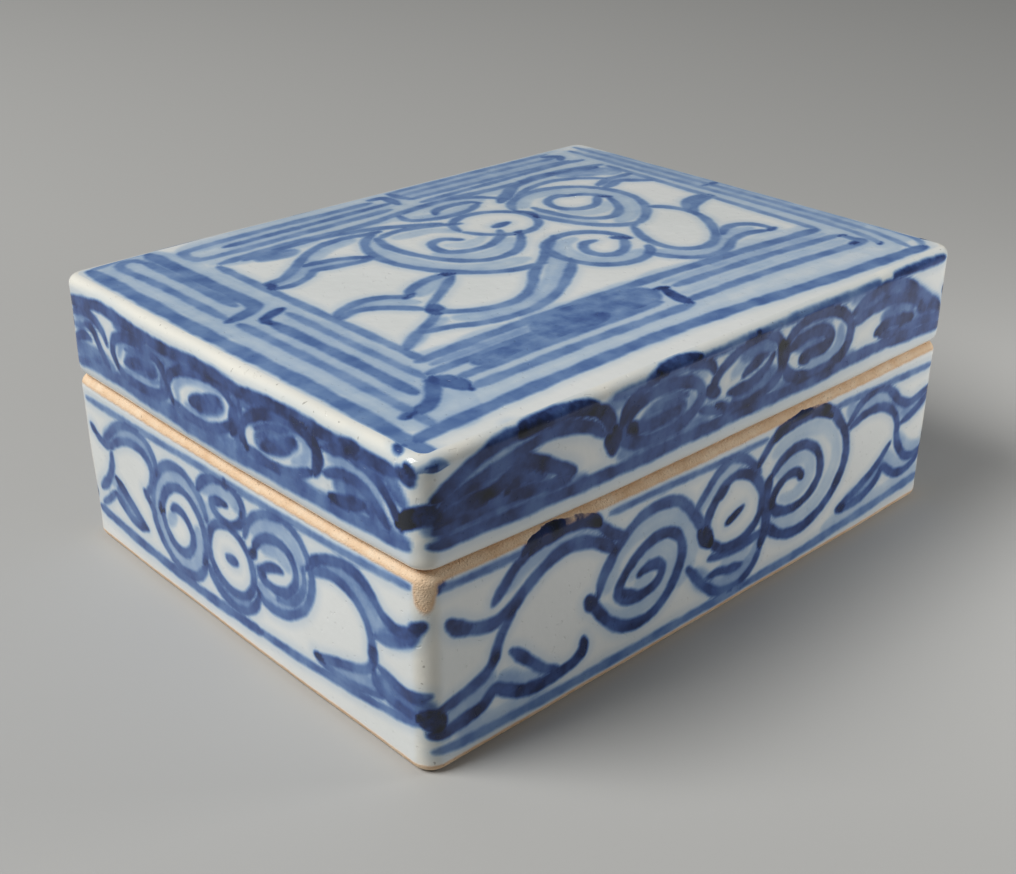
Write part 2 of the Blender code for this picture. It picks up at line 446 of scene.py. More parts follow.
LONG_BASE_LINES = [
    (0.85, 0.6, -40.6, 20.3, -34, 20.2, -29, 20.3), (0.79, 0.58, -18, 20.1, -8, 20.1, 0, 19.9, 7, 19.9),
    (0.88, 0.58, 19.6, 19.7, 26, 19.5, 32, 19.3, 40.5, 19),
    (1.15, 0.52, -41, 2.7, -36, 2.3, -28, 2, -18, 1.8, -6, 1.8, 6, 1.7),
    (1.15, 0.52, 5, 1.7, 13, 1.8, 20, 2.1, 28, 2.5, 36, 2.9, 41, 3.2), (1.8, 0.79, -40.8, 20.4, -39.8, 20.7),
    (1.42, 0.72, -33.6, 16.1, -32, 17.8, -30.4, 19.3, -28.6, 20.2),
    (1.9, 0.9, -30, 20, -27.6, 20.7, -24, 20.9, -21, 20.5, -19.6, 19.6),
    (1.23, 0.74, -20, 20, -18.8, 18.7, -17.2, 17.3, -15.3, 16.5),
    (1.8, 0.79, -39.2, 16.4, -38.2, 15.5, -36.8, 14.8),
    (1.52, 0.74, -38.4, 15.6, -36.4, 14.6, -33.8, 14, -31.6, 14.5, -29.6, 15.9, -27.4, 17.3, -25, 18.3,
     -22.6, 18.4, -20.4, 17.7, -18.6, 16.7, -17, 15.3),
    (1.33, 0.72, -31, 14.3, -32.4, 12.6, -33.2, 11, -33.8, 9.6, -35, 8.6, -37, 7.9, -40.6, 7.2),
    (1.7, 0.79, -33.1, 10.8, -33.9, 9.3), (2.75, 0.9, -42, 6.4, -41, 6.2, -40.2, 5.6),
    (1.52, 0.8, -41.4, 4.6, -39.4, 4.6, -37.4, 4.9, -35.2, 5.3, -33.6, 6.5, -32, 5.6, -30, 4.5, -27.4, 4,
     -24.8, 4.1, -22.6, 4.5, -21.4, 5.3, -21.4, 6.6),
    (1.23, 0.72, -31.4, 9.9, -30, 8.6, -28.4, 7, -26.8, 5.6, -25, 4.7),
    (1.42, 0.76, -13.3, 10.8, -12, 11.2, -10.4, 11, -9.5, 10, -10.2, 8.7, -12, 8.1, -14.2, 8.3, -16, 9.3,
     -16.2, 10.5, -15.3, 11.9, -13.3, 13.6, -10.8, 14.5, -8.6, 14.2, -7, 12.9, -6.4, 10.9, -6.9, 8.8,
     -8.4, 6.6, -10.6, 5.1, -13.2, 4.8, -15.8, 5.6, -18, 7.4, -19.6, 9.4, -20.7, 10.8),
    (1.8, 0.79, -16.2, 9.9, -15, 9, -13.4, 8.4),
    (1.42, 0.68, -19.3, 10.8, -18.8, 12.6, -17.8, 14.2, -16.6, 15.7, -15, 17, -13, 18, -10.5, 18.3, -8, 17.8,
     -6.2, 16.5, -4.9, 14.9, -3.6, 13.2, -2.8, 11.8),
    (1.92, 0.79, -20.9, 11.1, -19.8, 9.7), (2.26, 0.9, -3.4, 12.3, -2.5, 10.9, -1.7, 9.8),
    (1.23, 0.66, -4.9, 14.9, -3.2, 16.8, -1.4, 18.6, 0.6, 19.6, 2.2, 19.4, 3.7, 18.6, 5, 17.3, 6.2, 16),
    (1.32, 0.76, -2.4, 11, -2.4, 13.4, -1, 15.6, 0.6, 16.9, 2.4, 17.2, 4.3, 16.5, 5.8, 15.2, 6.9, 13.3,
     7, 11.2, 6, 9.4, 4, 8.3, 2, 8.1, 0, 8.6, -1.9, 10.2),
    (1.97, 0.79, -1.4, 15.4, 0.4, 16.3), (1.23, 0.72, -1.8, 8, 1.6, 7.5, 4.8, 7.5, 7.6, 7.9),
    (1.87, 0.79, 8.2, 14.6, 7.6, 12.4, 8, 10.4, 8, 8.2, 7.4, 6), (1.19, 0.78, 1, 11.5, 2, 11.9, 3.5, 12.6),
    (1.38, 0.8, 0.9, 11.5, 1.8, 11.9),
    (1.23, 0.7, -5.3, 8.2, -3.8, 6.4, -2, 4.5, 0, 3, 2.2, 2.4, 4.6, 2.7, 6.4, 3.9, 7.5, 5.8),
    (1.14, 0.72, -2, 5.5, 0, 5.6, 2, 5.1, 4.2, 4.9),
    (1.32, 0.78, 14.3, 12.5, 13.5, 13.4, 12, 13.7, 10.6, 13.3, 9.3, 12.2, 8.9, 11, 9.6, 9.8, 11.5, 9, 14, 8.8,
     16.3, 9.6, 17.8, 11.3, 17.7, 13.4, 16.6, 15.4, 14.4, 16.7, 12, 16.8, 9.8, 15.9, 8.2, 14.3),
    (1.87, 0.79, 14.3, 12.5, 13.7, 13.2), (1.87, 0.79, 8.6, 11.6, 9.2, 10.3),
    (1.41, 0.78, 7.9, 8.6, 9.6, 7, 11.5, 5.9, 14, 5.3, 17, 5.7, 20, 7.2, 22.2, 9.6, 23.1, 12.4, 22.5, 15.4,
     20.9, 17.6, 19.2, 19.4, 15.6, 20.3, 11.6, 20.3, 8.6, 19.7, 7, 18.4, 5.8, 17),
    (1.67, 0.9, 7.8, 19.2, 10, 20.3, 14, 20.7, 17.4, 20.2, 19.6, 18.9),
    (1.23, 0.72, 23, 16.2, 24, 17.3, 25.6, 18.6, 28, 19.2, 30.5, 18.8, 32.4, 17.4, 34, 15.9, 36.3, 14.9,
     38.4, 15.1, 40.6, 15.8),
    (1.23, 0.72, 23.4, 15.7, 26, 16.5, 28.6, 16.6, 31, 16, 33, 14.6, 34.1, 12.8, 34.3, 11, 35, 9.2, 36.6, 7.4,
     38.6, 6.7, 41, 7.1),
    (1.23, 0.72, 35, 12.5, 37, 12.9, 39, 13.9, 40.8, 15),
    (1.14, 0.7, 33, 10.3, 31.6, 9, 29.6, 7.6, 27, 6.4, 24.6, 5.5, 22.6, 5), (1.97, 0.79, 24, 4.9, 22.6, 4.9),
    (1.14, 0.7, 22.6, 4.6, 25, 4.5, 28, 4.8, 30.4, 5.9, 31.8, 7.3, 33.4, 6.3, 35, 5.4, 37.4, 5.1, 39.4, 5.8,
     40.8, 6.8),
]
LONG_BASE_WASHES = [
    (2.15, 0.21, -32, 17, -30, 18.6, -27.4, 19.5, -23.6, 19.7, -20.4, 19, -18, 17.4),
    (2.15, 0.25, -41, 5.9, -38, 6.2, -35.4, 6.8, -34, 8), (2.35, 0.25, -32.6, 7.4, -30, 5.6, -26.6, 4.8),
    (1.95, 0.13, -18, 11, -17.2, 13.6, -15, 15.6, -11.4, 16.4, -7.8, 15.6, -5.4, 13.2, -5, 9.6, -6.6, 7),
    (1.96, 0.13, -13.4, 9.6, -11.4, 9.7),
    (1.75, 0.13, -18.6, 9, -16.4, 6.8, -12.6, 6.5, -9, 7.6, -8, 10.6, -9.4, 12.6, -12.6, 12.8, -14.4, 11),
    (1.95, 0.16, -3.9, 15, -2, 17.2, 1, 18.3, 4.2, 17.7), (2.15, 0.28, -4, 7, -1, 4.2, 3, 3.6, 6, 5, 7, 6.8),
    (2.15, 0.15, 1, 6.4, 5, 6.2),
    (1.75, 0.13, 9.4, 8.4, 13.6, 7, 17.8, 8, 20.6, 11.4, 20.4, 15, 17.4, 18, 12.4, 18.5, 8.6, 17.4),
    (1.65, 0.16, 10.6, 11, 13, 10.6, 15.6, 12, 15.2, 14.6, 12.4, 15.3, 9.6, 14.4),
    (2.55, 0.25, 23, 18.6, 24.6, 17, 28, 17.8, 31.6, 17.2, 33.8, 15, 35, 13.6),
    (2.35, 0.3, 35, 13.8, 38, 14, 40.8, 15), (1.95, 0.2, 35, 10.6, 36.6, 8.6, 39, 7.6, 41, 7.2),
    (2.55, 0.36, 24, 5.1, 27.4, 5.6, 30.2, 6.6, 31.6, 8),
    (2.55, 0.18, 32.8, 8.6, 34, 7, 36.6, 6.1, 39.6, 6.4), (1.75, 0.13, 20, 3.3, 28, 3.6, 34, 4, 40, 4.4),
    (1.75, 0.16, -38, 3.6, -28, 3),
]
SHORT_BASE_LINES = [
    (0.87, 0.5, -29.6, 19.3, -15, 19.6, 0, 19.9, 15, 20, 24, 20.2, 30, 20.5),
    (1.3, 0.62, -30, 4.3, -27.4, 4, -22, 3.6, -16, 3.3, -8, 3, 0, 3.2, 5, 3.4),
    (1.04, 0.6, 4, 3.4, 10, 3.7, 16, 4.1, 22, 4.6, 27, 5.2, 30.6, 5.8),
    (1.56, 0.76, -29.2, 15.8, -28.4, 15.1), (1.22, 0.64, -29, 15.6, -27.6, 14.6, -26, 14.3, -24.6, 14.8),
    (1.13, 0.62, -26.6, 14.6, -25, 16, -23, 17.8, -20.5, 18.9, -17.5, 18.9, -15.6, 17.9, -14.7, 16.4,
     -14.6, 14.8),
    (1.13, 0.62, -25.2, 14.2, -23.6, 15.4, -21.4, 16.5, -19, 16.9, -16.9, 16.5, -15.8, 15.3, -15.7, 13.8,
     -16.4, 12.2, -17.6, 11),
    (1.71, 0.76, -17.8, 11.3, -17, 10.3),
    (1.22, 0.66, -17.4, 10.8, -16.3, 9.6, -15.8, 7.8, -14.4, 5.9, -12.4, 4.5, -10.4, 4, -8, 4.4, -6.2, 5.8,
     -5.2, 7.6),
    (1.22, 0.64, -25, 13.6, -25.3, 12, -25.9, 10.5, -27, 9, -28.8, 7.4),
    (1.3, 0.7, -24.8, 10.3, -23.4, 9.3, -21.6, 8, -20, 6.9, -18.4, 6.2),
    (1.22, 0.66, -25.4, 8, -24, 7.2, -22, 6.1, -20, 5.8, -18.2, 6.1),
    (1.04, 0.6, -25.4, 8, -27, 6.6, -29, 5.2),
    (1.22, 0.66, -11.9, 11.4, -11, 12, -9.8, 11.9, -8.6, 11.2, -7.7, 9.7, -8.2, 7.9, -9.6, 6.7, -11.6, 6.7,
     -13.2, 8, -14, 10, -13.6, 12.2, -12, 14.1, -9.6, 15, -7.4, 14.4, -5.8, 12.8, -5.1, 10.8, -5.2, 8.6,
     -6, 6.8),
    (1.22, 0.6, -16, 10.4, -15.8, 12.4, -14.9, 14.4, -13.2, 16.3, -10.8, 17.5, -8.4, 17.5, -6.4, 16.4, -5, 15,
     -4.3, 13.2),
    (1.71, 0.76, -14.3, 11.2, -14, 9.8),
    (1.22, 0.68, -5.8, 16.4, -4.8, 17.9, -2.8, 19.2, -0.2, 19.7, 2, 19.3, 3.1, 18, 2.9, 16.4, 1.6, 15.1,
     -0.4, 14.6, -2.2, 15.1, -2.9, 16.1, -1.7, 16.8, 0, 17),
    (1.8, 0.76, -0.8, 19.7, 0.9, 19.6), (1.46, 0.76, 3, 17.4, 2.7, 16),
    (1.13, 0.66, -4.3, 10, -3.7, 12.4, -2, 13.9, 0.2, 14.3, 2.4, 13.4, 3.9, 11.4, 4.1, 9, 2.8, 7, 0.2, 6.1,
     -2.6, 6.7, -4.1, 8.4, -4.3, 10.2),
    (1.13, 0.64, -5.1, 7.6, -4, 5.9, -2, 4.7, 0.5, 4.3, 2.8, 5.1, 4.4, 6.7, 5, 8.2),
    (1.9, 0.7, -0.7, 10.1, 1, 10.3),
    (1.22, 0.68, 9.6, 13.1, 8.2, 12.9, 6.6, 12.2, 5.4, 11.2, 6.2, 10.4, 8.2, 10.2, 10.4, 10.9, 11.9, 12.6,
     12, 14.4, 11, 15.9, 9, 16.5, 6.8, 15.9, 5.2, 14.6, 4.4, 13),
    (1.8, 0.76, 5.2, 11.5, 6.2, 10.9), (1.71, 0.76, 4.7, 13.4, 4.1, 12.5),
    (1.13, 0.62, 3, 14.4, 3.8, 16.4, 5.6, 18.1, 8, 19.2, 10.8, 19.5, 13.2, 18.2, 14.6, 15.8, 14.7, 13.2,
     13.5, 10.6, 11.3, 8.7, 8.6, 7.7, 6, 7.8, 4.6, 8.9),
    (1.04, 0.58, 13.4, 15.2, 13.4, 13, 11.6, 10.4, 8.4, 9.2),
    (1.3, 0.68, 14, 15.4, 15.4, 17, 17.4, 18, 20, 18.7, 22.6, 18.4, 24.4, 17.2, 26, 15.8, 28, 15.1,
     29.6, 15.4, 31, 16.3),
    (1.8, 0.86, 29.8, 15.6, 31.4, 16.8),
    (1.13, 0.64, 15, 15.4, 16.6, 16.3, 19, 16.5, 21.4, 15.8, 23.2, 14.3, 24.1, 12.4, 24.3, 10.4, 23.8, 8.7,
     22, 7.7, 19.4, 6.9, 17, 6.1, 15, 5.6),
    (1.71, 0.76, 14.8, 5.7, 16.2, 5.6), (1.22, 0.66, 24.6, 12.8, 27, 13.4, 29.4, 14.6, 31, 15.9),
    (1.8, 0.76, 24.3, 11.6, 24.3, 9.2), (1.3, 0.7, 24.8, 9.6, 27, 8.9, 29.4, 8.5, 31.8, 9.1),
    (1.22, 0.68, 24.2, 9, 24.6, 7.4, 26, 6.6, 28.4, 6.4, 31.8, 6.6), (1.99, 0.86, 30.7, 6.3, 32, 6),
    (1.04, 0.6, 15.2, 5.3, 17.6, 5, 21, 5.2, 24, 5.9, 26, 6.4),
]
SHORT_BASE_WASHES = [
    (2.3, 0.31, -26.2, 14.6, -24.4, 16, -22, 17.6, -19, 18, -16.6, 17.2, -15.2, 15),
    (2.5, 0.4, -24.4, 8.8, -22.2, 7.2, -19.6, 6.2),
    (1.9, 0.24, -15.2, 9.4, -15, 12, -13.8, 14.6, -11, 16.3, -8, 16.4, -5.8, 15, -4.8, 12.8),
    (1.9, 0.24, -15, 9, -13.8, 6.4, -11, 5.2, -8, 5.6, -6.6, 8, -6.6, 11),
    (1.9, 0.22, -12.6, 9.4, -11.4, 10.8), (2, 0.24, -4.6, 17, -2.4, 18.3, 0.6, 18.6, 1.9, 17.4),
    (2.3, 0.37, -4.4, 6.9, -2, 5.5, 0.6, 5.1, 3, 6), (2.13, 0.2, -3.4, 15.2, -5, 13.6),
    (1.9, 0.24, 4.6, 15.8, 6.8, 17.6, 9.6, 18.2, 12, 17.2, 13.2, 15),
    (1.8, 0.26, 13, 12.4, 10.8, 9.6, 7.8, 8.5, 5.2, 9.4), (1.9, 0.24, 6.4, 14.4, 8.8, 15.3, 10.8, 14),
    (2.5, 0.37, 15.4, 16.2, 18, 17.4, 21, 17.4, 23.4, 15.8, 25.4, 14, 28.6, 14.5),
    (2.1, 0.44, 25.6, 13.6, 28, 14.2, 30.4, 15.4), (2.9, 0.51, 25.4, 8, 28, 7.5, 31.6, 7.7),
    (2.3, 0.33, 17.4, 5.5, 21, 6.3, 24, 7), (2.13, 0.22, -26, 9.4, -25, 9.6),
]
base_paint = Paint(len(base_section) * STATIONS, seed=5)
base_paint.draw_sides(base_heights, LONG_BASE_LINES, LONG_BASE_WASHES, SHORT_BASE_LINES, SHORT_BASE_WASHES)
base_rings = section_rings(base_section, phase=0.6, warp_from=10, warp_to=SEAT_HEIGHT)
base_numbers = np.arange(len(base_section) * STATIONS).reshape(-1, STATIONS)
porcelain_base = make_piece(
    "porcelain_base",
    base_rings.reshape(-1, 3),
    add_quads(base_numbers).tolist() + [base_numbers[0][::-1].tolist(), base_numbers[-1].tolist()],
    base_paint, base_bare.ravel(), base_thin.ravel(),
    fired_porcelain("base_glaze_and_biscuit", offset=3.0),
)
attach(porcelain_base, "base")
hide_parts("base")

# -------------------- the cover
# The lift-off cover: a shallow slab-built cap that drops over the flange. Its top has a brushed fret
# frame round scrollwork and its sides a darker leaf scroll, all under the same glaze, which was wiped
# off the rim where the two halves touched in the kiln.

COVER_WALL = 3.0
COVER_CORNER = 2.0
RIM_HEIGHT = cover_low.z / MM
RIM_ROUND = 0.7
RIM_STRETCH = 1.6
RIM_WARP = 3.0
TOP_EDGE_ROUND = 1.1
TOP_HEIGHT = cover_high.z / MM
TOP_EDGE_DROP = 0.32
TOP_CROWN, TOP_SWELL = 0.24, 0.08
CEILING_HEIGHT = TOP_HEIGHT - 3.8
CEILING_ROUND = 1.5
edge_height = TOP_HEIGHT - TOP_EDGE_DROP - TOP_EDGE_ROUND

ceiling = [(25, CEILING_HEIGHT), (17, CEILING_HEIGHT), (9, CEILING_HEIGHT)]
ceiling += arc(COVER_WALL + CEILING_ROUND, CEILING_HEIGHT - CEILING_ROUND, CEILING_ROUND, 90, 180, 5)
ceiling += rise(COVER_WALL, CEILING_HEIGHT - CEILING_ROUND, RIM_HEIGHT, 2.0)
ceiling = own_corners(ceiling, COVER_CORNER)
rim = own_corners([(COVER_WALL, RIM_HEIGHT + 0.25), (COVER_WALL - 0.25, RIM_HEIGHT)], COVER_CORNER)
rim_turn = [
    (inset, RIM_HEIGHT + RIM_STRETCH * height)
    for inset, height in arc(RIM_ROUND, RIM_ROUND, RIM_ROUND, 270, 180, 5)
]
rim += outer_corners([(1.7, RIM_HEIGHT)] + rim_turn)
cover_wall = outer_corners(rise(0, RIM_HEIGHT + RIM_STRETCH * RIM_ROUND, edge_height))
edge = outer_corners(arc(TOP_EDGE_ROUND, edge_height, TOP_EDGE_ROUND, 180, 90, 6))
round_edge = TOP_EDGE_ROUND * np.radians(np.linspace(0, 90, len(edge)))
cover_section = ceiling + rim + cover_wall + edge

rim_first = len(ceiling)
edge_first = len(cover_section) - len(edge)
ring_points = len(cover_section) * STATIONS
cover_bare = depth_in_zones(cover_section, [(rim_first - 1, rim_first + 4)])
edge_thin = np.zeros(len(cover_section))
edge_thin[edge_first:] = np.sin(np.linspace(0.3, math.pi - 0.5, len(edge)))
cover_thin = np.maximum(edge_thin[:, None], corner_thin[None, :])
cover_thin[:rim_first] = 0
cover_heights = painting_heights(cover_section, rim_first + 3, edge_first)
cover_heights[edge_first:] = edge_height + round_edge[:, None]

LONG_COVER_LINES = [
    (1.33, 0.73, -41, 25.1, -36, 24.9, -28, 24.7, -18, 24.6, -8, 24.6, 4, 24.6, 16, 24.6, 22, 24.9, 28, 24.9,
     33, 24.6, 40.6, 24.2),
    (1.04, 0.59, -18, 32.4, -8, 32.6, 0, 32.7, 8, 32.9, 14, 33, 20, 32.8, 26, 32.9),
    (1.61, 0.77, -40.5, 29.6, -38.5, 30.6, -36, 31.8, -33, 32.7, -30, 33),
    (1.83, 0.87, -31.4, 32.8, -28, 33.1, -24, 33, -21.4, 32.4, -19.8, 31.4),
    (1.8, 0.83, -20.6, 32, -19, 30.8, -18.3, 29, -18.1, 27), (2.44, 0.93, -18.2, 29.4, -18.1, 28, -18, 26.9),
    (1.42, 0.77, -40, 28.7, -37, 29.6, -33, 30.4, -30, 31, -27, 31.5, -24, 31.3, -21, 30.3, -19.3, 28.9),
    (1.71, 0.83, -40.4, 27.4, -36.5, 27.9, -33.5, 28.2, -31, 29.3, -29.5, 29.6, -27.6, 28.8, -25.5, 27.6,
     -23.4, 26.5),
    (1.42, 0.77, -40.4, 26.5, -36, 26.7, -32, 26.8, -28, 26.4, -24, 25.9),
    (2.13, 0.93, -34.6, 27.9, -33, 28.1), (1.33, 0.79, -32.4, 27.2, -30, 28.2, -27.4, 27.4),
    (2.66, 0.93, -42, 28.4, -40.8, 28.2, -40.2, 27.8), (1.06, 0.84, -40.9, 32.9, -40.2, 32.7),
    (1.52, 0.75, -17, 29.2, -16, 30.8, -14.2, 32, -12, 32.7, -9, 33, -6, 32.6, -4, 31.8, -3, 30.6),
    (1.75, 0.87, -12, 32.8, -9.6, 33.1, -7, 33.1, -5, 32.6),
    (1.52, 0.73, -16.9, 28.2, -15.6, 30, -13.5, 30.9, -10.5, 31.3, -7.5, 30.9, -5.4, 29.8, -5.1, 28.3,
     -6.6, 27, -9.5, 26.3, -13, 26.3, -16, 27.1, -17.2, 28.4),
    (1.42, 0.73, -15.9, 28.4, -13.4, 27.9, -11, 28, -8.4, 28.1), (2.02, 0.81, -15.9, 28.5, -14.6, 28.1),
    (0.95, 0.6, -12.6, 29.6, -9.6, 30, -7.2, 29.4), (2.23, 0.91, -4, 28.9, -2.4, 28.1),
    (1.23, 0.69, -5, 27, -2.4, 26.1, 0, 25.5),
    (1.42, 0.77, -3.6, 28.4, -2.4, 30.2, 0, 31.6, 2, 32.3, 4.6, 32.6, 6.8, 31.8, 8.2, 30.3, 8.6, 28.6,
     8, 26.9, 6, 25.8, 3, 25.3, 0, 25.5, -2.4, 26.6),
    (1.33, 0.73, 1.8, 28.8, 3.6, 29.6, 5.6, 30.1), (1.33, 0.73, -0.6, 27.5, 2.6, 27.4, 5.4, 28.4, 6.8, 29.8),
    (2.13, 0.84, 7.8, 31, 8.6, 29.4, 8.6, 27.6),
    (1.52, 0.79, 8.9, 30.2, 10.4, 31.5, 13, 32.3, 16, 32.2, 18.8, 31.3, 20.6, 29.8, 20.9, 28, 20.1, 26.4,
     18, 25.5, 15, 25.2, 12, 25.5, 9.8, 26.5, 8.8, 28),
    (1.61, 0.79, 12.2, 27.7, 13.8, 27.9, 16, 28, 17, 28.8, 16.2, 29.9, 14, 30.3, 11.6, 30.1, 9.6, 29.4),
    (2.13, 0.84, 12, 27.6, 13.6, 27.8),
    (1.42, 0.73, 21.2, 30.5, 23.5, 31.5, 26.2, 32.1, 29, 32.1, 32, 31.2, 34.6, 29.7, 37, 28.1, 40, 26.3),
    (1.42, 0.73, 21.2, 29.3, 25, 29.9, 29, 30.1, 32.4, 29.6, 34.6, 28.6, 36, 27.2),
    (1.61, 0.81, 26.3, 26.7, 28.4, 27.3, 31, 27.1, 34, 26.7),
    (1.23, 0.73, 27, 26.2, 30, 25.7, 33, 25.6, 36, 25.5, 40.4, 25.2), (2.23, 0.84, 35.4, 28.2, 36.3, 26.9),
    (1.14, 0.77, 29, 33, 34, 32.9, 40, 32.6),
]
LONG_COVER_WASHES = [
    (2.6, 0.44, -41, 27, -36, 27.4, -31, 27.8, -27, 27),
    (1.6, 0.28, -39, 29.7, -35, 31, -31, 31.8, -26.6, 32.2, -22, 31.4),
    (1.8, 0.5, -38, 28.6, -33, 29.6, -30, 30.3), (1.6, 0.44, -40, 25.8, -30, 25.6, -22, 25.3),
    (1.4, 0.26, -15, 31.3, -11, 32, -7, 31.8, -4.6, 30.8), (3, 0.52, -14, 28.2, -11, 28.6, -8, 28.2),
    (1.12, 0.24, -7.4, 29.6, -6.4, 28.6, -7.6, 27.6), (1.8, 0.44, -17, 26, -10, 25.4, -4, 25.6),
    (1, 0.22, -4.6, 27.7, -2, 26.9, 0, 26.4), (3, 0.46, 0.6, 26.4, 4, 26.6, 7, 27.6),
    (2, 0.46, 1.4, 30.8, 4.4, 31, 6.6, 30.6), (1.57, 0.24, 0, 29.4, 2, 30.4),
    (1.6, 0.3, 10.2, 30.6, 13.4, 31.4, 17, 31), (1.6, 0.3, 18.9, 29.6, 18.9, 27.8, 17.4, 26.6, 13.6, 26.5),
    (1.8, 0.5, 11.2, 29.2, 13.8, 29.2, 15.4, 28.8), (1.6, 0.44, 8, 25.6, 14, 25, 22, 25.4),
    (2.2, 0.56, 22, 30.3, 25.6, 31, 29.4, 31.2, 33, 30.2, 37, 28, 40, 26),
    (2, 0.5, 27.4, 28.4, 31, 28.6, 34, 28), (2.2, 0.54, 30.4, 26.4, 34, 26.4, 38, 26.4, 41, 25.4),
    (1, 0.3, 28.4, 27.8, 31.6, 28, 33.6, 27.5), (1.4, 0.34, 20.8, 32, 26, 32.9),
    (1.79, 0.34, -19, 31.8, -16.6, 31.9),
]
SHORT_COVER_LINES = [
    (1.17, 0.62, -30.6, 23.8, -26, 24.2, -20, 24.2, -12, 24, -3, 23.8, 6, 24, 14, 24.2, 22, 24.4, 30, 24.6),
    (1.44, 0.76, -31, 30.7, -28.6, 31.1, -26, 31.6, -23, 32, -17, 31.6, -10, 31.3, -4, 31.6, 4, 31.3,
     10, 31.8, 14, 31.9, 20, 31.6, 26, 31.6, 29.4, 31.6),
    (1.62, 0.8, 12, 31.8, 16, 31.6), (1.8, 0.8, 20.6, 31.7, 24, 31.7),
    (1.26, 0.7, -30.4, 29.4, -28, 30.3, -25.4, 30.2, -23.4, 29.2, -22.4, 27.8),
    (1.35, 0.68, -30.2, 26.4, -28, 27.3, -26.4, 27.2),
    (1.26, 0.72, -27.4, 28.8, -25.6, 28.6, -24.2, 26.7, -22.6, 25),
    (1.35, 0.74, -20.4, 25.9, -21.2, 27.5, -20.2, 29.3, -17, 30.1, -13, 29.9, -10.8, 29, -9.9, 27.5),
    (1.26, 0.7, -20.6, 26, -18.6, 25.2, -14, 25.1, -10.6, 25.8, -9.6, 27.2),
    (1.35, 0.74, -18.6, 26.9, -15.6, 27.7, -12.2, 28.3), (0.99, 0.66, -18.2, 28.6, -14.6, 29.1, -12.4, 29.2),
    (1.35, 0.76, -8.8, 25.6, -9.7, 27.2, -8.6, 28.9, -5.6, 30.2, -1.8, 30.8, 1.4, 30.5, 3, 29.4),
    (1.26, 0.7, -9, 25.7, -6, 25.1, -2, 25.2, 1.4, 26.2, 2.8, 27.4),
    (1.8, 0.76, -5, 27, -2.4, 27.6, 0.4, 28.8), (2.02, 0.8, 3.3, 29.3, 3.2, 27.6, 2.5, 26.3),
    (1.35, 0.76, 5.2, 25.4, 4.4, 27, 5.8, 28.9, 9, 30.4, 12.6, 31, 15.4, 30.7, 16.9, 29.4),
    (1.26, 0.7, 5.2, 25.5, 9, 25, 13, 25.6, 16, 26.8), (1.53, 0.74, 8, 26.7, 11, 27.6, 13.4, 29.2),
    (0.99, 0.68, 7, 28.2, 10, 29.4, 12.6, 29.8), (1.92, 0.8, 16.7, 30.6, 17.2, 28.8, 16.6, 27),
    (1.35, 0.74, 18.2, 27.6, 20.4, 28.4, 23, 28.6, 25.4, 27.5, 27.4, 25.6),
    (1.35, 0.74, 18, 30.2, 21.6, 30.9, 25.4, 30.2, 27.8, 28.4, 29.2, 26.2),
    (1.53, 0.8, 18.8, 25.4, 21, 25.6, 23.8, 26.5), (2.07, 1, 28.8, 26.6, 30.2, 27.6, 32, 28.6),
    (1.92, 0.8, 29, 32, 30.6, 31.4), (1.12, 0.84, 27.7, 34.1, 28.7, 33.7), (1.46, 0.86, 30, 32.7, 30.8, 32),
]
SHORT_COVER_WASHES = [
    (2.4, 0.5, -30.6, 25.2, -26, 25.4, -21.6, 25), (1.4, 0.5, -29, 29.8, -26, 31),
    (1.34, 0.5, -30, 28, -27.6, 28.6), (1.1, 0.34, -29.6, 28.8, -27.6, 29.6, -25.2, 29.4),
    (3, 0.56, -17.6, 27.4, -14.4, 27.8, -12, 28), (1.1, 0.32, -19.8, 27.4, -18.8, 29, -15.6, 29.5, -12, 29.3),
    (1, 0.36, -18.8, 26, -14, 26.3, -11.2, 27), (2.4, 0.56, -4.6, 27, -1.6, 27.6, 1, 28.6),
    (1.2, 0.26, -7.6, 26.4, -7.6, 28, -5, 29.4, -1.6, 29.9, 1, 29.7), (1, 0.36, -6, 26.2, -2, 26.3),
    (2.6, 0.56, 7.4, 27, 11, 28, 13.6, 29),
    (1.3, 0.28, 6.4, 28.4, 9.2, 29.7, 12.8, 30.2, 15.2, 29.9, 15.2, 28, 13.2, 26.9),
    (2, 0.52, -20, 31, -12, 30.7, -8, 30.7, 0, 31.4, 6, 30.6, 16, 31, 24, 31.4, 28.6, 30.6),
    (1.6, 0.52, -21, 24.7, -12, 24.6, -2, 24.6, 4, 24.7, 14, 24.7, 20, 24.7, 30, 25.2),
    (1.57, 0.5, -11, 25.4, -9.6, 30, -10, 26), (2.24, 0.54, 3.6, 25.6, 4, 30.6),
    (1.2, 0.3, 19, 29.4, 22, 29.8, 25, 29, 26.8, 27), (2.4, 0.54, 20, 27, 23, 27.4, 25.4, 26.4, 28, 25),
    (2.02, 0.54, 27.6, 30.6, 29.6, 29),
]
